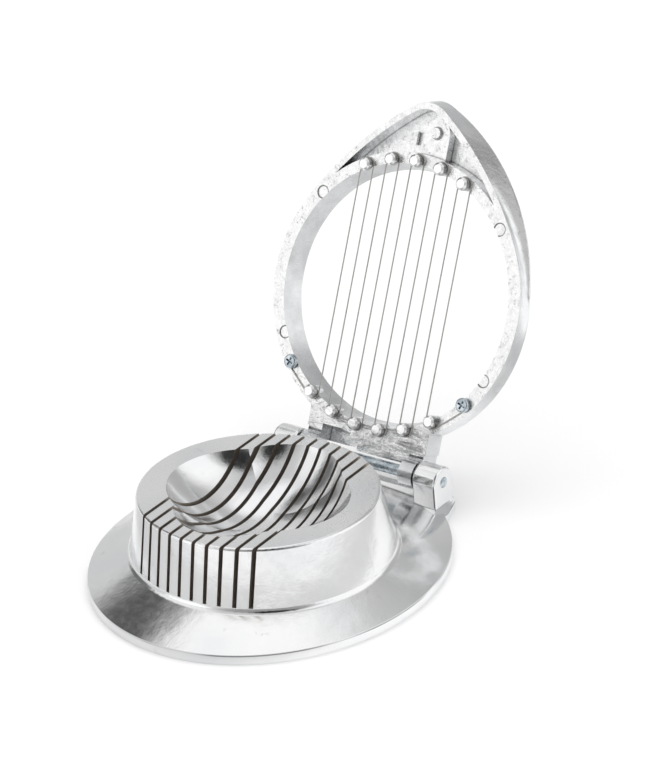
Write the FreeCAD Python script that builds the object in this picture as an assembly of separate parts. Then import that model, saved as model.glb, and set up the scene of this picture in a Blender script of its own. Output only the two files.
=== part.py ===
import FreeCAD, Part
import math
import os

# Egg slicer, in millimetres.  +Z is up, the hinge is at the rear (+Y) and its axis runs along X.
# Every piece is drawn about the drum's axis, with the frame closed.  The frame is then swung open to
# its stop, and the whole tool is moved so that the origin lies under its middle, on the ground.

Vec = FreeCAD.Vector
X_AXIS = Vec(1, 0, 0)
Y_AXIS = Vec(0, 1, 0)
Z_AXIS = Vec(0, 0, 1)

# --- base casting ---------------------------------------------------------------------------------
DRUM_Y = -30.0
FLANGE_HALF_X = 60.3
FLANGE_HALF_Y = 63.1
FLANGE_CENTRE_Y = 3.0
LIP_HEIGHT = 3.4
LIP_DRAFT = 0.4
LIP_LAND = 1.6
DRUM_TOP_HALF_X = 41.6
DRUM_TOP_HALF_Y = 38.0
DRUM_FOOT_HALF_X = 46.0
DRUM_FOOT_HALF_Y = 42.4
DRUM_FOOT_Z = 9.0
DRUM_TOP_Z = 29.9
SKIN = 2.8
OVAL_POINTS = 24
RIM_ROUND = 1.0
FOOT_ROUND = 2.2

# --- egg bowl: two crossed egg hollows, one along X and one along Y ---------------------------------
BOWL_DEPTH = 14.9
LONG_HOLLOW = (37.9, 29.3, 0.0)
CROSS_HOLLOW = (37.2, 29.6, 0.5)
BOWL_SKIN = 2.6

# --- slots and wires ------------------------------------------------------------------------------
SPANS = 10
PITCH = 5.0
SLOT_WIDTH = 1.35
SLOT_FLOOR_Z = 10.4
WIRE_DIAMETER = 0.5

# --- hinge ----------------------------------------------------------------------------------------
HINGE_Y = 56.9
HINGE_Z = 13.0
PIN_DIAMETER = 4.0
PIN_HALF_LENGTH = 34.7
KNUCKLE_CLEARANCE = 0.05
KNUCKLE_RADIUS = 4.8
KNUCKLE_INNER_X = 18.6
KNUCKLE_OUTER_X = 24.2
EAR_INNER_X = 25.0
EAR_OUTER_X = 34.4
EAR_RADIUS = 5.5
EAR_ROUND = 0.9
PLINTH_TOP_Z = 4.9
PLINTH_FOOT_Z = 2.8
PLINTH_FRONT = 9.0
PLINTH_SIDE = 3.0
OPEN_ANGLE = 115.8

# --- wire frame, measured with the frame closed over the drum ---------------------------------------
FACE_Z = 14.0
FRAME_THICKNESS = 8.6
RING_CENTRE_Y = -0.8
RING_INNER = 45.6
RING_INNER_TOP = 43.9
RING_OUTER = 50.2
RING_LAND = 49.5
HANDLE_TIP_Y = -67.9
HANDLE_TIP_RADIUS = 12.0
HANDLE_SIDE_RADIUS = 124.0
HANDLE_WALL = 2.3
HANDLE_SKIN = 2.0
BACK_RING_OUTER = 50.5
BACK_TIP_Y = -69.4
BACK_TIP_RADIUS = 10.8
BACK_SIDE_RADIUS = 75.0
EDGE_ROUND = 1.2

NECK_HALF_X = 24.8
NECK_WAIST = 7.0
NECK_LENGTH = 20.0
NECK_SKIN = 2.3
NECK_POCKET_RIGHT = -3.0
NECK_POCKET_LENGTH = 6.2
NECK_BOSS_RADIUS = 2.4
NECK_BOSS_GAP = 0.9
WEB_GAP = 2.5

POST_RADIUS = PITCH / 2 - WIRE_DIAMETER / 2 - 0.02
POST_HEIGHT = 3.3
POST_TIP_RADIUS = 1.5
POST_ROOT = 3.0
FRONT_POSTS = 5
FRONT_POST_RADIUS = 46.8
REAR_POSTS = 6
REAR_POST_RADIUS = 46.2

SCREW_X = 36.0
SCREW_FROM_HINGE = 27.1
SCREW_SHANK = 3.0
SCREW_HEAD = 5.0
SCREW_HEAD_HEIGHT = 1.5
SCREW_LENGTH = 6.0
WIRE_GAP = 0.02


def cone(lower, upper):
    """Solid between two level ovals, each given as (half_x, half_y, z, centre_y)."""
    return Part.makeLoft([oval(*lower), oval(*upper)], True, True)


def oval(half_x, half_y, z, centre_y=0.0):
    """A level ellipse as one smooth closed curve whose seam lies on +X."""
    points = []
    for index in range(OVAL_POINTS):
        angle = 2 * math.pi * index / OVAL_POINTS
        points.append(Vec(half_x * math.cos(angle), centre_y + half_y * math.sin(angle), z))
    curve = Part.BSplineCurve()
    curve.interpolate(Points=points, PeriodicFlag=True)
    return Part.Wire(curve.toShape())


def egg_hollow(hollow, along, grow):
    """Egg-shaped solid, round about its long axis, that sinks into the drum's top."""
    half_length, radius, shallower = hollow
    centre = Vec(0, 0, DRUM_TOP_Z - BOWL_DEPTH + shallower + radius)
    end = along * (half_length + grow)
    crown = Z_AXIS * (radius + grow)
    ellipse = Part.Ellipse(centre + end, centre + crown, centre)
    half = Part.ArcOfEllipse(ellipse, 0, math.pi).toShape()
    axis = Part.LineSegment(centre - end, centre + end).toShape()
    return Part.Face(Part.Wire([half, axis])).revolve(centre, along, 360)


def bowl(grow=0.0):
    return egg_hollow(LONG_HOLLOW, X_AXIS, grow).fuse(egg_hollow(CROSS_HOLLOW, Y_AXIS, grow))


def prism(points, x_from, x_to):
    """A solid with the given (y, z) outline, running along X."""
    corners = [Vec(x_from, y, z) for y, z in points]
    face = Part.Face(Part.makePolygon(corners + corners[:1]))
    return face.extrude(Vec(x_to - x_from, 0, 0))


def rod(radius, x_from, x_to, y, z):
    return Part.makeCylinder(radius, x_to - x_from, Vec(x_from, y, z), X_AXIS)


def base_skin():
    """Outside of the casting as one solid: lip, sloping flange and drum."""
    foot = (DRUM_FOOT_HALF_X, DRUM_FOOT_HALF_Y, DRUM_FOOT_Z, 0.0)
    top = (DRUM_TOP_HALF_X, DRUM_TOP_HALF_Y, DRUM_TOP_Z, 0.0)
    lip_x = FLANGE_HALF_X - LIP_DRAFT
    lip_y = FLANGE_HALF_Y - LIP_DRAFT
    ground = (FLANGE_HALF_X, FLANGE_HALF_Y, 0.0, FLANGE_CENTRE_Y)
    lip = (lip_x, lip_y, LIP_HEIGHT, FLANGE_CENTRE_Y)
    drum = cone(foot, top)
    rim = [edge for edge in drum.Edges if edge.BoundBox.ZMin > DRUM_TOP_Z - 0.01]
    drum = drum.makeFillet(RIM_ROUND, rim)
    skin = drum.fuse([cone(ground, lip), cone(lip, foot)]).removeSplitter()
    corner = [edge for edge in skin.Edges if abs(edge.BoundBox.ZMin - DRUM_FOOT_Z) < 0.01
              and abs(edge.BoundBox.ZMax - DRUM_FOOT_Z) < 0.01]
    return skin.makeFillet(FOOT_ROUND, corner)


def base_hollow():
    """Underside of the casting: the skin's shape, smaller by the wall thickness."""
    ground = (FLANGE_HALF_X - SKIN, FLANGE_HALF_Y - SKIN, 0.0, FLANGE_CENTRE_Y)
    lip = (FLANGE_HALF_X - SKIN - LIP_LAND, FLANGE_HALF_Y - SKIN - LIP_LAND, 1.2, FLANGE_CENTRE_Y)
    foot = (DRUM_FOOT_HALF_X - SKIN, DRUM_FOOT_HALF_Y - SKIN, DRUM_FOOT_Z - SKIN, 0.0)
    top = (DRUM_TOP_HALF_X - SKIN, DRUM_TOP_HALF_Y - SKIN, DRUM_TOP_Z - SKIN, 0.0)
    return cone(ground, lip).fuse([cone(lip, foot), cone(foot, top)])


def slots():
    length = 2 * DRUM_FOOT_HALF_Y + 4
    height = DRUM_TOP_Z - SLOT_FLOOR_Z + 5
    found = []
    for index in range(SPANS):
        x = (index - (SPANS - 1) / 2) * PITCH
        corner = Vec(x - SLOT_WIDTH / 2, -length / 2, SLOT_FLOOR_Z)
        found.append(Part.makeBox(SLOT_WIDTH, length, height, corner))
    return found


def ear(side):
    """Hinge ear: an upright with a round top about the pin."""
    front = HINGE_Y - EAR_RADIUS
    back = HINGE_Y + EAR_RADIUS
    x = min(side * EAR_INNER_X, side * EAR_OUTER_X)
    top = Part.Arc(Vec(x, front, HINGE_Z), Vec(x, HINGE_Y, HINGE_Z + EAR_RADIUS), Vec(x, back, HINGE_Z))
    lines = [
        Part.LineSegment(Vec(x, front, 0), Vec(x, front, HINGE_Z)),
        Part.LineSegment(Vec(x, back, HINGE_Z), Vec(x, back, 0)),
        Part.LineSegment(Vec(x, back, 0), Vec(x, front, 0)),
    ]
    outline = Part.Wire([lines[0].toShape(), top.toShape(), lines[1].toShape(), lines[2].toShape()])
    upright = Part.Face(outline).extrude(Vec(EAR_OUTER_X - EAR_INNER_X, 0, 0))
    rim = [edge for edge in upright.Edges if edge.BoundBox.XLength < 0.01 and edge.BoundBox.ZLength > 1]
    return upright.makeFillet(EAR_ROUND, rim)


def plinth(side):
    """Sloping foot that carries an ear's load out onto the flange."""
    front = HINGE_Y - EAR_RADIUS
    back = HINGE_Y + EAR_RADIUS
    inner = EAR_INNER_X
    outer = EAR_OUTER_X
    wide = EAR_OUTER_X + PLINTH_SIDE
    top = [(inner, front), (outer, front), (outer, HINGE_Y), (outer, back), (inner, back)]
    foot = [
        (inner, front - PLINTH_FRONT), (wide, front - PLINTH_FRONT), (wide, HINGE_Y - 2.5),
        (outer + 0.5, back), (inner, back),
    ]
    levels = [(foot, 0.0), (foot, PLINTH_FOOT_Z), (top, PLINTH_TOP_Z)]
    return Part.makeLoft([polygon(points, side, z) for points, z in levels], True, True)


def polygon(points, side, z):
    corners = [Vec(side * x, y, z) for x, y in points]
    return Part.makePolygon(corners + corners[:1])


def base_casting():
    rear_wall = Part.makeBox(
        2 * EAR_INNER_X, 3.0, HINGE_Z - KNUCKLE_RADIUS - 0.6 - 4.0,
        Vec(-EAR_INNER_X, HINGE_Y - 1.0, 4.0),
    )
    lugs = [ear(-1), ear(1), plinth(-1), plinth(1), rear_wall]
    shell = base_skin().fuse(lugs)
    hollow = base_hollow().cut(bowl(BOWL_SKIN))
    shell = shell.cut(hollow).cut(bowl())
    shell = shell.cut(slots())
    shell = shell.cut(rod(PIN_DIAMETER / 2, -EAR_OUTER_X - 1, EAR_OUTER_X + 1, HINGE_Y, HINGE_Z))
    return shell.removeSplitter()


def frame_outline(ring_r, tip_y, tip_r, side_r, z):
    """A circle about the ring's centre, drawn out by two side arcs to the rounded tip of the handle."""
    apart = RING_CENTRE_Y - tip_y
    to_ring = side_r - ring_r
    to_tip = side_r - tip_r
    along = (to_ring ** 2 - to_tip ** 2 + apart ** 2) / (2 * apart)
    across = math.sqrt(to_ring ** 2 - along ** 2)
    side_centre = Vec(-across, RING_CENTRE_Y - along, z)
    ring_centre = Vec(0, RING_CENTRE_Y, z)
    tip_centre = Vec(0, tip_y, z)

    def mirrored(point):
        return Vec(-point.x, point.y, point.z)

    at_ring = side_centre + (ring_centre - side_centre).normalize() * side_r
    at_tip = side_centre + (tip_centre - side_centre).normalize() * side_r
    middle = side_centre + ((at_ring + at_tip) * 0.5 - side_centre).normalize() * side_r
    rear = ring_centre + Vec(0, ring_r, 0)
    tip = tip_centre - Vec(0, tip_r, 0)
    arcs = [
        Part.Arc(mirrored(at_ring), rear, at_ring),
        Part.Arc(at_ring, middle, at_tip),
        Part.Arc(at_tip, tip, mirrored(at_tip)),
        Part.Arc(mirrored(at_tip), mirrored(middle), mirrored(at_ring)),
    ]
    return Part.Wire([arc.toShape() for arc in arcs])


def frame_body():
    tip_y = HANDLE_TIP_Y + HANDLE_TIP_RADIUS
    back_y = BACK_TIP_Y + BACK_TIP_RADIUS
    lower = frame_outline(RING_OUTER, tip_y, HANDLE_TIP_RADIUS, HANDLE_SIDE_RADIUS, FACE_Z)
    back_z = FACE_Z + FRAME_THICKNESS
    upper = frame_outline(BACK_RING_OUTER, back_y, BACK_TIP_RADIUS, BACK_SIDE_RADIUS, back_z)
    body = Part.makeLoft([lower, upper], True, True)
    top = [edge for edge in body.Edges if edge.BoundBox.ZMin > FACE_Z + FRAME_THICKNESS - 0.01]
    return body.makeFillet(EDGE_ROUND, top)


def neck():
    """The frame's rear end: a block behind the ring with a pocket beside the left knuckle's arm."""
    near = HINGE_Y - WEB_GAP
    waist = HINGE_Y - NECK_WAIST
    far = near - NECK_LENGTH
    outline = [(NECK_HALF_X, far), (NECK_HALF_X, waist), (KNUCKLE_OUTER_X, waist), (KNUCKLE_OUTER_X, near)]
    corners = [Vec(x, y, FACE_Z) for x, y in outline]
    corners += [Vec(-x, y, FACE_Z) for x, y in reversed(outline)]
    block = Part.Face(Part.makePolygon(corners + corners[:1])).extrude(Vec(0, 0, FRAME_THICKNESS))
    depth = FRAME_THICKNESS - NECK_SKIN
    width = KNUCKLE_INNER_X + NECK_POCKET_RIGHT
    corner = Vec(-KNUCKLE_INNER_X, near - NECK_POCKET_LENGTH, FACE_Z)
    pocket = Part.makeBox(width, NECK_POCKET_LENGTH + 1, depth, corner)
    boss_x = NECK_POCKET_RIGHT - NECK_BOSS_RADIUS - NECK_BOSS_GAP
    boss = Part.makeCylinder(NECK_BOSS_RADIUS, depth - 2.0, Vec(boss_x, near - 3.2, FACE_Z + 2.2))
    return block.cut(pocket).fuse(boss)


def knuckles():
    found = []
    for side in (-1, 1):
        x_from, x_to = sorted((side * KNUCKLE_INNER_X, side * KNUCKLE_OUTER_X))
        found.append(rod(KNUCKLE_RADIUS, x_from, x_to, HINGE_Y, HINGE_Z))
        reach = [
            (HINGE_Y - WEB_GAP - 3.0, FACE_Z),
            (HINGE_Y - WEB_GAP - 3.0, FACE_Z + 6.0),
            (HINGE_Y + 1.0, HINGE_Z + KNUCKLE_RADIUS - 0.2),
            (HINGE_Y, HINGE_Z),
            (HINGE_Y - KNUCKLE_RADIUS + 0.1, HINGE_Z - 0.6),
        ]
        found.append(prism(reach, x_from, x_to))
    return found


def post(x, y):
    """Cast post that a wire bend goes round, standing on the frame's underside."""
    stem = POST_HEIGHT - 0.7
    body = Part.makeCylinder(POST_RADIUS, POST_ROOT + stem, Vec(x, y, FACE_Z - stem))
    tip = Part.makeCone(
        POST_TIP_RADIUS, POST_RADIUS, POST_HEIGHT - stem, Vec(x, y, FACE_Z - POST_HEIGHT)
    )
    return body.fuse(tip)


def post_places(count, radius, toward):
    """Centres of a row of posts two pitches apart on a circle; toward is -1 in front, +1 at the rear."""
    found = []
    for index in range(count):
        x = (index - (count - 1) / 2) * 2 * PITCH
        y = RING_CENTRE_Y + toward * math.sqrt(radius ** 2 - x ** 2)
        found.append((x, y))
    return found


def handle_pocket():
    """Hollow under the handle, outside the ring's land."""
    depth = FRAME_THICKNESS - HANDLE_SKIN
    outline = frame_outline(
        RING_OUTER - HANDLE_WALL, HANDLE_TIP_Y + HANDLE_TIP_RADIUS,
        HANDLE_TIP_RADIUS - HANDLE_WALL, HANDLE_SIDE_RADIUS - HANDLE_WALL, FACE_Z,
    )
    inside = Part.Face(outline).extrude(Vec(0, 0, depth))
    ring_land = Part.makeCylinder(RING_LAND, depth + 2, Vec(0, RING_CENTRE_Y, FACE_Z - 1))
    return inside.cut(ring_land)


def handle_details():
    """Ejector block with its pip, and a small fin beside it, on the pocket's floor."""
    floor = FACE_Z + FRAME_THICKNESS - HANDLE_SKIN
    height = 3.6
    ring_edge = RING_CENTRE_Y - RING_LAND
    half_width = 5.2
    length = 7.4
    centre_x = 3.4
    corner = Vec(centre_x - half_width, ring_edge - length, floor - height)
    block = Part.makeBox(2 * half_width, length + 1.0, height + 0.5, corner)
    arch_foot = Vec(centre_x, ring_edge - length, floor - height)
    arch = Part.makeCylinder(half_width, height + 0.5, arch_foot)
    pip = Part.makeCone(1.8, 2.4, 1.2, arch_foot + Vec(0, -0.4, -1.1))
    fin = Part.makeBox(1.1, 4.4, 1.8, Vec(centre_x - 10.0, ring_edge - 7.0, floor - 1.6))
    return [block, arch, pip, fin]


def ejector_marks():
    """Shallow round marks on the frame's underside."""
    found = []
    for side in (-1, 1):
        for from_hinge, x in ((36.6, 41.4), (87.5, 36.5)):
            found.append(Part.makeCylinder(2.1, 0.25, Vec(side * x, HINGE_Y - from_hinge, FACE_Z)))
    return found


def screw_places():
    return [(side * SCREW_X, HINGE_Y - SCREW_FROM_HINGE) for side in (-1, 1)]


def wire_frame():
    frame = frame_body().fuse([neck()] + knuckles())
    taper = (RING_INNER - RING_INNER_TOP) / FRAME_THICKNESS
    ring_bore = Part.makeCone(
        RING_INNER + taper, RING_INNER_TOP - taper, FRAME_THICKNESS + 2, Vec(0, RING_CENTRE_Y, FACE_Z - 1)
    )
    frame = frame.cut([ring_bore, handle_pocket()] + ejector_marks())
    added = handle_details()
    places = post_places(FRONT_POSTS, FRONT_POST_RADIUS, -1)
    places += post_places(REAR_POSTS, REAR_POST_RADIUS, 1)
    added += [post(x, y) for x, y in places]
    frame = frame.fuse(added)
    bore = PIN_DIAMETER / 2 + KNUCKLE_CLEARANCE
    holes = [rod(bore, -KNUCKLE_OUTER_X - 1, KNUCKLE_OUTER_X + 1, HINGE_Y, HINGE_Z)]
    for x, y in screw_places():
        holes.append(Part.makeCylinder(SCREW_SHANK / 2, SCREW_LENGTH, Vec(x, y, FACE_Z)))
    return frame.cut(holes).removeSplitter()


def clamp_screw(x, y):
    """Pan-head screw with a cross recess, which pinches a wire's end against the frame."""
    gap = WIRE_DIAMETER + 2 * WIRE_GAP
    under_head = FACE_Z - gap
    shank = Part.makeCylinder(SCREW_SHANK / 2, SCREW_LENGTH + gap, Vec(x, y, under_head))
    head = Part.makeCylinder(SCREW_HEAD / 2, SCREW_HEAD_HEIGHT, Vec(x, y, under_head - SCREW_HEAD_HEIGHT))
    rim = [edge for edge in head.Edges if edge.BoundBox.ZMax < under_head - SCREW_HEAD_HEIGHT + 0.01]
    head = head.makeFillet(0.7, rim)
    screw = shank.fuse(head)
    for angle in (20, 110):
        slot = Part.makeBox(3.0, 0.7, 1.0, Vec(-1.5, -0.35, 0))
        slot.rotate(Vec(0, 0, 0), Z_AXIS, angle)
        slot.translate(Vec(x, y, under_head - SCREW_HEAD_HEIGHT))
        screw = screw.cut(slot)
    return screw.removeSplitter()


def tangent_points(centre_a, centre_b, radius_a, radius_b):
    """Ends of the line that touches two circles, both on their left as seen from a to b."""
    along = (centre_b - centre_a).normalize()
    span = (centre_b - centre_a).Length
    tilt = (radius_a - radius_b) / span
    flat = math.sqrt(1 - tilt ** 2)
    left = Vec(-along.y, along.x, 0)
    normal = along * tilt + left * flat
    return centre_a + normal * radius_a, centre_b + normal * radius_b


def cutting_wire():
    """One length of wire: screw, rear and front posts in turn, and the other screw."""
    z = FACE_Z - WIRE_GAP - WIRE_DIAMETER / 2
    bend = PITCH / 2
    anchor = SCREW_SHANK / 2 + WIRE_DIAMETER / 2 + WIRE_GAP
    rear = [Vec(x, y, z) for x, y in post_places(REAR_POSTS, REAR_POST_RADIUS, 1)]
    front = [Vec(x, y, z) for x, y in post_places(FRONT_POSTS, FRONT_POST_RADIUS, -1)]
    screws = [Vec(x, y, z) for x, y in screw_places()]
    edges = []
    start, first = tangent_points(screws[0], rear[0], anchor, bend)
    out = (start - screws[0]).normalize()
    back = Vec(out.y, -out.x, 0)
    edges.append(Part.Arc(screws[0] - out * anchor, screws[0] - back * anchor, start))
    edges.append(Part.LineSegment(start, first))
    last = first
    stops = [None] * (len(rear) + len(front))
    stops[0::2] = rear
    stops[1::2] = front
    for index, centre in enumerate(stops):
        toward = 1 if index % 2 == 0 else -1
        leave = centre + Vec(bend, 0, 0)
        crown = centre + Vec(0, toward * bend, 0)
        if index == len(stops) - 1:
            leave, end = Vec(-first.x, first.y, z), Vec(-start.x, start.y, z)
        edges.append(Part.Arc(last, crown, leave))
        if index < len(stops) - 1:
            last = stops[index + 1] - Vec(bend, 0, 0)
            edges.append(Part.LineSegment(leave, last))
    edges.append(Part.LineSegment(leave, end))
    away = (end - screws[1]).normalize()
    back = Vec(away.y, -away.x, 0)
    edges.append(Part.Arc(end, screws[1] + back * anchor, screws[1] - away * anchor))
    path = Part.Wire([edge.toShape() for edge in edges])
    begin = edges[0].StartPoint
    heading = edges[0].tangent(edges[0].FirstParameter)[0]
    profile = Part.Wire(Part.makeCircle(WIRE_DIAMETER / 2, begin, heading))
    return path.makePipeShell([profile], True, False)


def opened(shape):
    """The frame's pieces are drawn closed; this swings them up and back to the open stop."""
    shape.rotate(Vec(0, HINGE_Y, HINGE_Z), X_AXIS, -OPEN_ANGLE)
    return shape


def main():
    left, right = screw_places()
    pin = rod(PIN_DIAMETER / 2, -PIN_HALF_LENGTH, PIN_HALF_LENGTH, HINGE_Y, HINGE_Z)
    pieces = {
        "base_casting": base_casting(),
        "hinge_pin": pin.makeChamfer(0.3, [pin.Edges[0], pin.Edges[2]]),
        "wire_frame": opened(wire_frame()),
        "cutting_wire": opened(cutting_wire()),
        "clamp_screw_left": opened(clamp_screw(*left)),
        "clamp_screw_right": opened(clamp_screw(*right)),
    }
    os.makedirs("parts", exist_ok=True)
    for name, shape in pieces.items():
        shape.translate(Vec(0, DRUM_Y, 0))
        print(name, shape.isValid(), len(shape.Solids), round(shape.Volume, 1))
        shape.exportStep(f"parts/{name}.step")


main()
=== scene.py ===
"""Egg slicer: cast aluminium base, hinged wire frame, one stainless wire and two clamp screws."""
import math

import bpy
from mathutils import Matrix, Vector


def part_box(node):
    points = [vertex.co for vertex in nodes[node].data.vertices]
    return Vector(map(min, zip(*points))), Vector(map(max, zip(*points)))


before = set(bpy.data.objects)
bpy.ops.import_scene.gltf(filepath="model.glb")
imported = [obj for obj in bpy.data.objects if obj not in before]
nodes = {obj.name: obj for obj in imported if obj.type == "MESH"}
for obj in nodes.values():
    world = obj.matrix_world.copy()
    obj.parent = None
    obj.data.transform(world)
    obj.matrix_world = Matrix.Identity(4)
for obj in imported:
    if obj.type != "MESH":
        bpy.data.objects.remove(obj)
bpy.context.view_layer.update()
scene = bpy.context.scene

MM = 0.001


def grey(level):
    return (level, level, level, 1)


def link(obj):
    scene.collection.objects.link(obj)
    return obj


# ---------------------------------------------------------------- camera
AZIMUTH = math.radians(37.88)
ELEVATION = math.radians(27.16)
ROLL = math.radians(-4.92)
CAMERA_AT = Vector((0.526, -0.667, 0.489))
FOCAL_PX = 2874.54
FRAME_PX = 774
SENSOR_MM = 36
CLIP_NEAR = 0.01
CLIP_FAR = 20

forward = Vector((-math.sin(AZIMUTH) * math.cos(ELEVATION),
                  math.cos(AZIMUTH) * math.cos(ELEVATION), -math.sin(ELEVATION)))
level_right = Vector((math.cos(AZIMUTH), math.sin(AZIMUTH), 0))
level_up = level_right.cross(forward)
right = level_right * math.cos(ROLL) + level_up * math.sin(ROLL)
up = level_up * math.cos(ROLL) - level_right * math.sin(ROLL)
camera = link(bpy.data.objects.new("camera", bpy.data.cameras.new("camera")))
camera.matrix_world = Matrix.Translation(CAMERA_AT) @ Matrix((right, up, -forward)).transposed().to_4x4()
camera.data.sensor_width = SENSOR_MM
camera.data.lens = SENSOR_MM * FOCAL_PX / FRAME_PX
camera.data.clip_start = CLIP_NEAR
camera.data.clip_end = CLIP_FAR
scene.camera = camera


# ---------------------------------------------------------------- node graphs
class Graph:
    """Short ways to add nodes to one material or to the world."""

    def __init__(self, tree):
        self.tree = tree
        self.place = self.add("ShaderNodeTexCoord").outputs["Object"]

    def add(self, kind):
        return self.tree.nodes.new(kind)

    def join(self, value, socket):
        """Set a number or colour on a socket, or link another node's output to it."""
        if isinstance(value, (int, float, tuple)):
            socket.default_value = value
        else:
            self.tree.links.new(value, socket)

    def noise(self, scale, detail=3.0, roughness=0.5, stretch=(1, 1, 1), distortion=0.0):
        mapping = self.add("ShaderNodeMapping")
        mapping.inputs["Scale"].default_value = stretch
        self.join(self.place, mapping.inputs["Vector"])
        node = self.add("ShaderNodeTexNoise")
        self.join(mapping.outputs["Vector"], node.inputs["Vector"])
        node.inputs["Scale"].default_value = scale
        node.inputs["Detail"].default_value = detail
        node.inputs["Roughness"].default_value = roughness
        node.inputs["Distortion"].default_value = distortion
        return node.outputs["Fac"]

    def cells(self, scale):
        """Distance from the nearest of many scattered points."""
        node = self.add("ShaderNodeTexVoronoi")
        self.join(self.place, node.inputs["Vector"])
        node.inputs["Scale"].default_value = scale
        return node.outputs["Distance"]

    def ramp(self, value, low, high, to_low=0.0, to_high=1.0):
        """Smooth step from to_low, at low, to to_high, at high."""
        node = self.add("ShaderNodeMapRange")
        node.interpolation_type = "SMOOTHSTEP"
        limits = {"From Min": low, "From Max": high, "To Min": to_low, "To Max": to_high}
        for name, number in limits.items():
            node.inputs[name].default_value = number
        self.join(value, node.inputs["Value"])
        return node.outputs["Result"]

    def fade(self, value, low, high):
        """1 below low, 0 above high."""
        return self.ramp(value, low, high, 1.0, 0.0)

    def math(self, operation, a, b=0.0):
        node = self.add("ShaderNodeMath")
        node.operation = operation
        self.join(a, node.inputs[0])
        self.join(b, node.inputs[1])
        return node.outputs[0]

    def times(self, first, *others):
        for other in others:
            first = self.math("MULTIPLY", first, other)
        return first

    def most(self, a, b):
        return self.math("MAXIMUM", a, b)

    def minus(self, a, b):
        return self.math("SUBTRACT", a, b)

    def apart(self, a, b):
        """How far apart two values are."""
        return self.math("ABSOLUTE", self.minus(a, b))

    def length(self, a, b):
        """Length of the flat vector (a, b)."""
        squares = self.math("ADD", self.math("POWER", a, 2.0), self.math("POWER", b, 2.0))
        return self.math("SQRT", squares)

    def mix(self, factor, a, b):
        node = self.add("ShaderNodeMix")
        node.data_type = "RGBA"
        for name, value in (("Factor", factor), ("A", a), ("B", b)):
            self.join(value, node.inputs[name])
        return node.outputs["Result"]

    def blend(self, factor, a, b):
        """Like mix, for numbers."""
        node = self.add("ShaderNodeMix")
        for name, value in (("Factor", factor), ("A", a), ("B", b)):
            self.join(value, node.inputs[name])
        return node.outputs["Result"]

    def bump(self, height, distance, normal=None):
        node = self.add("ShaderNodeBump")
        node.inputs["Distance"].default_value = distance
        self.join(height, node.inputs["Height"])
        if normal is not None:
            self.join(normal, node.inputs["Normal"])
        return node.outputs["Normal"]

    def split(self, vector):
        node = self.add("ShaderNodeSeparateXYZ")
        self.join(vector, node.inputs["Vector"])
        return node.outputs

    def corners(self, distance):
        """Mask for painted shade: 1 deep in a corner of the part itself, 0 on open faces, found by a local
        occlusion node.
        """
        node = self.add("ShaderNodeAmbientOcclusion")
        node.samples = 6
        node.only_local = True
        node.inputs["Distance"].default_value = distance
        return self.fade(node.outputs["AO"], 0.35, 0.85)

    def dot(self, vector, axis):
        node = self.add("ShaderNodeVectorMath")
        node.operation = "DOT_PRODUCT"
        self.join(vector, node.inputs[0])
        node.inputs[1].default_value = axis
        return node.outputs["Value"]

    def own_normal(self):
        """The face's direction in the part's own axes, so it turns with the part."""
        return self.add("ShaderNodeTexCoord").outputs["Normal"]


# ---------------------------------------------------------------- materials
POLISH_DULL = (0.86, 0.87, 0.88, 1)
POLISH_BRIGHT = grey(0.93)
POLISH_STAIN = (0.55, 0.56, 0.57, 1)
POLISH_CORNER_SHADE = grey(0.16)
LIP_REFLECTION_LINE = (0.16, 0.17, 0.18, 1)
SLOT_WALL_SHADE = (0.50, 0.45, 0.40, 1)
LIP_LINE_Z = 3.0 * MM
SLOTS_HALF_WIDTH = 24.0 * MM
SLOTS_FLOOR_Z = 10.2 * MM

CAST_DULL = (0.76, 0.77, 0.78, 1)
CAST_BRIGHT = (0.98, 0.98, 0.98, 1)
SKIN_DULL = (0.70, 0.71, 0.72, 1)
SKIN_BRIGHT = (0.90, 0.91, 0.92, 1)
CAST_WORN = grey(0.46)
CAST_MARK = (0.30, 0.30, 0.31, 1)
CAST_RING_SHADE = grey(0.14)
CAST_POST_SIDE_SHADE = grey(0.34)
CAST_BRINK_SHADE = grey(0.30)
CAST_CORNER_SHADE = grey(0.12)

ZINC_DARK = (0.36, 0.42, 0.46, 1)
ZINC_LIGHT = (0.68, 0.74, 0.78, 1)
ZINC_CORNER_SHADE = (0.03, 0.06, 0.07, 1)
WIRE_DARK = (0.42, 0.41, 0.39, 1)
WIRE_LIGHT = (0.66, 0.65, 0.62, 1)

OPEN_ANGLE = math.radians(115.8)
OUT_OF_UNDERSIDE = Vector((0, -math.sin(OPEN_ANGLE), -math.cos(OPEN_ANGLE)))
HINGE_TO_HANDLE = Vector((0, -math.cos(OPEN_ANGLE), math.sin(OPEN_ANGLE)))
PIN_BELOW_UNDERSIDE = 1.0 * MM
BETWEEN_KNUCKLES = 18.4 * MM
EJECTOR_PLACES = ((41.4 * MM, 36.6 * MM), (36.5 * MM, 87.5 * MM))
EJECTOR_RADIUS = 2.2 * MM


def material(name, metallic, roughness):
    mat = bpy.data.materials.new(name)
    mat.use_nodes = True
    shader = mat.node_tree.nodes["Principled BSDF"]
    shader.inputs["Metallic"].default_value = metallic
    shader.inputs["Roughness"].default_value = roughness
    return mat, Graph(mat.node_tree), shader.inputs


def slot_walls(g, normal):
    """1 on the unpolished walls of the slots, 0 elsewhere; it makes them rougher and carries the painted
    shade inside the slots.
    """
    place = g.split(g.place)
    sideways = g.ramp(g.math("ABSOLUTE", normal["X"]), 0.96, 0.985)
    inside = g.math("LESS_THAN", g.math("ABSOLUTE", place["X"]), SLOTS_HALF_WIDTH)
    above = g.math("GREATER_THAN", place["Z"], SLOTS_FLOOR_Z)
    return g.times(sideways, inside, above)


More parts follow.
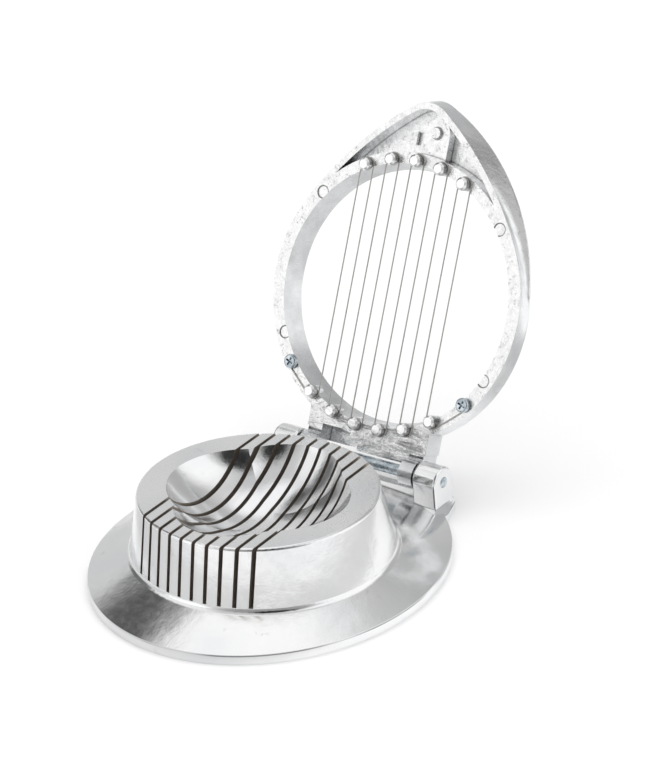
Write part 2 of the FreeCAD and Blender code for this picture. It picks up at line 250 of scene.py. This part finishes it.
def lip_reflection_line(g, normal):
    """Mask for a painted dark reflection: 1 along a thin uneven line under the top of the flange's upright
    edge.
    """
    upright = g.fade(normal["Z"], 0.4, 0.7)
    line = g.fade(g.apart(g.split(g.place)["Z"], LIP_LINE_Z), 0.1 * MM, 0.35 * MM)
    uneven = g.ramp(g.noise(30, 3.0), 0.4, 0.6, 0.15, 0.85)
    return g.times(upright, line, uneven)


def polished_aluminium():
    """Buffed casting: a bright skin, faintly wavy, scratched and stained, duller where level, with painted
    shade in its corners and on the walls of the sawn slots, and a painted dark reflection line under the top
    of the lip.
    """
    mat, g, inputs = material("polished_aluminium", 1.0, 0.16)
    normal = g.split(g.own_normal())
    sawn_and_shaded = slot_walls(g, normal)
    waves = g.noise(38, 2.0, 0.5)
    fine = g.noise(420, 4.0, 0.6)
    grain = g.noise(1600, 2.0, 0.5)
    scratches = g.noise(260, 3.0, 0.7, (1, 7, 1))
    stains = g.ramp(g.noise(150, 6.0, 0.65), 0.62, 0.72)

    rough = g.ramp(fine, 0.35, 0.75, 0.13, 0.19)
    rough = g.math("ADD", rough, g.times(g.ramp(normal["Z"], 0.97, 0.999), 0.14))
    rough = g.math("ADD", rough, g.ramp(scratches, 0.6, 0.75, 0.0, 0.08))
    g.join(g.most(rough, g.times(sawn_and_shaded, 0.5)), inputs["Roughness"])

    tone = g.mix(g.ramp(waves, 0.3, 0.7), POLISH_DULL, POLISH_BRIGHT)
    tone = g.mix(g.times(stains, 0.25), tone, POLISH_STAIN)
    # painted shade: darkens the part's own corners, found by local occlusion
    tone = g.mix(g.times(g.corners(0.9 * MM), 0.55), tone, POLISH_CORNER_SHADE)
    # painted dark reflection line under the top of the lip
    tone = g.mix(lip_reflection_line(g, normal), tone, LIP_REFLECTION_LINE)
    # painted shade inside the slots, laid over the real unpolished walls
    g.join(g.mix(sawn_and_shaded, tone, SLOT_WALL_SHADE), inputs["Base Color"])

    relief = g.bump(waves, 0.6 * MM)
    relief = g.bump(fine, 0.04 * MM, relief)
    g.join(g.bump(grain, 0.01 * MM, relief), inputs["Normal"])
    return mat


def ejector_ring_shade(g, reach):
    """1 on the outlines of the mould's ejector marks, given the distance from the hinge; it carries painted
    shade along the recess edges.
    """
    side = g.math("ABSOLUTE", g.split(g.place)["X"])
    rings = 0.0
    for x, from_hinge in EJECTOR_PLACES:
        off_centre = g.length(g.minus(side, x), g.minus(reach, from_hinge))
        rings = g.most(rings, g.fade(g.apart(off_centre, EJECTOR_RADIUS), 0.08 * MM, 0.30 * MM))
    return rings


def cast_aluminium():
    """Casting left as moulded on its underside, with flow folds and pits, and with painted shade in corners,
    on the post sides, on tilted faces and round the ejector marks; buffed elsewhere.
    """
    mat, g, inputs = material("cast_aluminium", 1.0, 0.3)
    pin = sum(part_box("hinge_pin"), Vector()) / 2
    facing = g.dot(g.own_normal(), OUT_OF_UNDERSIDE)
    underside_at = pin.dot(OUT_OF_UNDERSIDE) - PIN_BELOW_UNDERSIDE
    proud = g.minus(g.dot(g.place, OUT_OF_UNDERSIDE), underside_at)
    reach = g.minus(g.dot(g.place, HINGE_TO_HANDLE), pin.dot(HINGE_TO_HANDLE))

    # where things are: 1 inside each area
    middle = g.math("LESS_THAN", g.math("ABSOLUTE", g.split(g.place)["X"]), BETWEEN_KNUCKLES)
    off_knuckles = g.most(g.ramp(reach, 5.2 * MM, 6.4 * MM), middle)
    underside = g.times(g.ramp(facing, 0.2, 0.45), off_knuckles)
    posts = g.times(g.ramp(proud, 0.4 * MM, 0.7 * MM), g.ramp(reach, 8.6 * MM, 9.2 * MM))
    as_cast = g.times(underside, g.minus(1.0, posts))
    neck = g.fade(reach, 12 * MM, 19 * MM)
    # painted shade on faces turned partly away from the underside, away from the hinge
    brink_shade = g.times(g.ramp(facing, 0.3, 0.42), g.fade(facing, 0.5, 0.8), g.ramp(reach, 9 * MM, 14 * MM))

    mottle = g.noise(520, 6.0, 0.7, distortion=0.8)
    flow = g.noise(150, 5.0, 0.6, distortion=1.5)
    fine = g.noise(1400, 4.0, 0.6)
    folds = g.noise(110, 4.0, 0.6, (0.5, 1.6, 1.6), 1.2)
    pits = g.times(g.fade(g.cells(700), 0.0, 0.2), g.ramp(g.noise(210, 3.0), 0.5, 0.6))
    veins = g.times(g.fade(g.apart(flow, 0.5), 0.0, 0.012), g.ramp(mottle, 0.5, 0.6))
    marks = g.times(g.most(pits, veins), as_cast)

    buffed = g.ramp(g.noise(300, 3.0, 0.6, (1, 1, 6)), 0.3, 0.7, 0.20, 0.28)
    moulded = g.ramp(mottle, 0.3, 0.7, 0.20, 0.34)
    g.join(g.blend(underside, buffed, moulded), inputs["Roughness"])

    cast = g.mix(g.ramp(mottle, 0.24, 0.40), CAST_DULL, CAST_BRIGHT)
    skin = g.mix(g.ramp(g.noise(60, 3.0, 0.6), 0.35, 0.65), SKIN_DULL, SKIN_BRIGHT)
    tone = g.mix(underside, skin, cast)
    layers = (
        (g.times(neck, underside, g.ramp(folds, 0.46, 0.60)), 0.7, CAST_WORN),
        (marks, 0.75, CAST_MARK),
        # painted shade round the edges of the ejector recesses
        (g.times(ejector_ring_shade(g, reach), underside), 0.9, CAST_RING_SHADE),
        # painted shade on the sides of the posts, by how far they turn from the underside
        (g.times(posts, g.fade(facing, 0.3, 0.7)), 0.6, CAST_POST_SIDE_SHADE),
        # painted shade on the tilted faces
        (brink_shade, 0.7, CAST_BRINK_SHADE),
        # painted shade in the part's own corners, found by local occlusion
        (g.corners(0.8 * MM), 0.85, CAST_CORNER_SHADE),
    )
    for where, strength, colour in layers:
        tone = g.mix(g.times(where, strength), tone, colour)
    g.join(tone, inputs["Base Color"])

    relief = g.bump(g.times(g.minus(mottle, g.times(marks, 0.5)), as_cast), 0.13 * MM)
    relief = g.bump(g.times(flow, as_cast), 0.3 * MM, relief)
    relief = g.bump(g.times(folds, neck, as_cast), 2.2 * MM, relief)
    g.join(g.bump(fine, 0.02 * MM, relief), inputs["Normal"])
    return mat


def zinc_steel():
    """Zinc plate with a faint blue tint and tool marks, and painted shade in its corners."""
    mat, g, inputs = material("zinc_steel", 1.0, 0.22)
    tone = g.mix(g.ramp(g.noise(500, 3.0), 0.35, 0.65), ZINC_DARK, ZINC_LIGHT)
    # painted shade in the part's own corners, found by local occlusion
    g.join(g.mix(g.corners(0.5 * MM), tone, ZINC_CORNER_SHADE), inputs["Base Color"])
    g.join(g.ramp(g.noise(1500, 2.0), 0.3, 0.7, 0.16, 0.32), inputs["Roughness"])
    g.join(g.bump(g.noise(1200, 3.0), 0.03 * MM), inputs["Normal"])
    return mat


def stainless_wire():
    """Drawn wire: darker than the castings, with fine marks along it."""
    mat, g, inputs = material("stainless_wire", 1.0, 0.32)
    lines = g.noise(700, 2.0, 0.5, (1, 0.12, 0.12))
    g.join(g.mix(lines, WIRE_DARK, WIRE_LIGHT), inputs["Base Color"])
    g.join(g.ramp(lines, 0.3, 0.7, 0.26, 0.42), inputs["Roughness"])
    g.join(g.bump(lines, 0.01 * MM), inputs["Normal"])
    return mat


def paint(mat, *node_names):
    for node_name in node_names:
        slots = nodes[node_name].data.materials
        slots.clear()
        slots.append(mat)


paint(polished_aluminium(), "base_casting")
paint(cast_aluminium(), "wire_frame")
paint(zinc_steel(), "hinge_pin", "clamp_screw_left", "clamp_screw_right")
paint(stainless_wire(), "cutting_wire")


# ---------------------------------------------------------------- stage
FLOOR_HALF = 6
FLOOR_DULL = grey(0.93)
FLOOR_BRIGHT = grey(0.95)
FLOOR_MIRRORED = grey(0.62)
OVERHEAD_HEIGHT = 2.0
OVERHEAD_SIZE = 3.0
OVERHEAD_WATTS = 32

# The room by direction: (compass from +Y towards +X, height, radius, soft edge, brightness), in degrees.
ROOM_LEVEL = 0.66
ROOM = (
    (20, 35, 34, 40, 0.46),
    (0, 90, 35, 30, 0.60),
    (-54, 68, 19, 18, 1.03),
    (-122, 44, 17, 16, 0.92),
    (-144, 20, 16, 12, 1.15),
    (85, 32, 38, 24, 1.05),
    (76, 0, 42, 18, 1.05),
    (-90, 23, 14, 9, 0.15),
    (-74, 43, 9, 14, 0.08),
    (148, 28, 34, 22, 0.32),
    (146, 46, 16, 8, 0.02),
)


def floor_material():
    """White floor, mirrored by the metal as a greyer ring round the part."""
    mat, g, inputs = material("floor", 0.0, 0.6)
    inputs["Specular IOR Level"].default_value = 0.1
    place = g.split(g.place)
    away = g.length(place["X"], place["Y"])
    outside_ring = g.most(g.ramp(away, 0.16, 0.24), g.fade(away, 0.08, 0.10))
    mirrored = g.mix(outside_ring, FLOOR_MIRRORED, FLOOR_BRIGHT)
    seen = g.mix(g.noise(4, 2.0), FLOOR_DULL, FLOOR_BRIGHT)
    in_mirror = g.add("ShaderNodeLightPath").outputs["Is Glossy Ray"]
    g.join(g.mix(in_mirror, seen, mirrored), inputs["Base Color"])
    return mat


def lay_floor():
    mesh = bpy.data.meshes.new("floor")
    corners = [(-1, -1), (1, -1), (1, 1), (-1, 1)]
    mesh.from_pydata([(x * FLOOR_HALF, y * FLOOR_HALF, 0) for x, y in corners], [], [(0, 1, 2, 3)])
    floor = link(bpy.data.objects.new("floor", mesh))
    floor.data.materials.append(floor_material())


def hang_light():
    """One large soft light straight above, which the metal doesn't mirror."""
    light = bpy.data.lights.new("overhead", "AREA")
    light.size = OVERHEAD_SIZE
    light.energy = OVERHEAD_WATTS
    overhead = link(bpy.data.objects.new("overhead", light))
    overhead.location = (0, 0, OVERHEAD_HEIGHT)
    overhead.visible_glossy = False


def paint_room():
    """A grey room with soft bright and dark areas."""
    world = bpy.data.worlds.new("studio")
    world.use_nodes = True
    g = Graph(world.node_tree)
    direction = g.add("ShaderNodeTexCoord").outputs["Generated"]
    level = grey(ROOM_LEVEL)
    for compass, height, radius, edge, brightness in ROOM:
        turn, rise = math.radians(compass), math.radians(height)
        axis = (math.sin(turn) * math.cos(rise), math.cos(turn) * math.cos(rise), math.sin(rise))
        outer = math.cos(math.radians(radius + edge / 2))
        inner = math.cos(math.radians(radius - edge / 2))
        level = g.mix(g.ramp(g.dot(direction, axis), outer, inner), level, grey(brightness))
    g.join(level, world.node_tree.nodes["Background"].inputs["Color"])
    scene.world = world


lay_floor()
hang_light()
paint_room()
scene.view_settings.view_transform = "Standard"
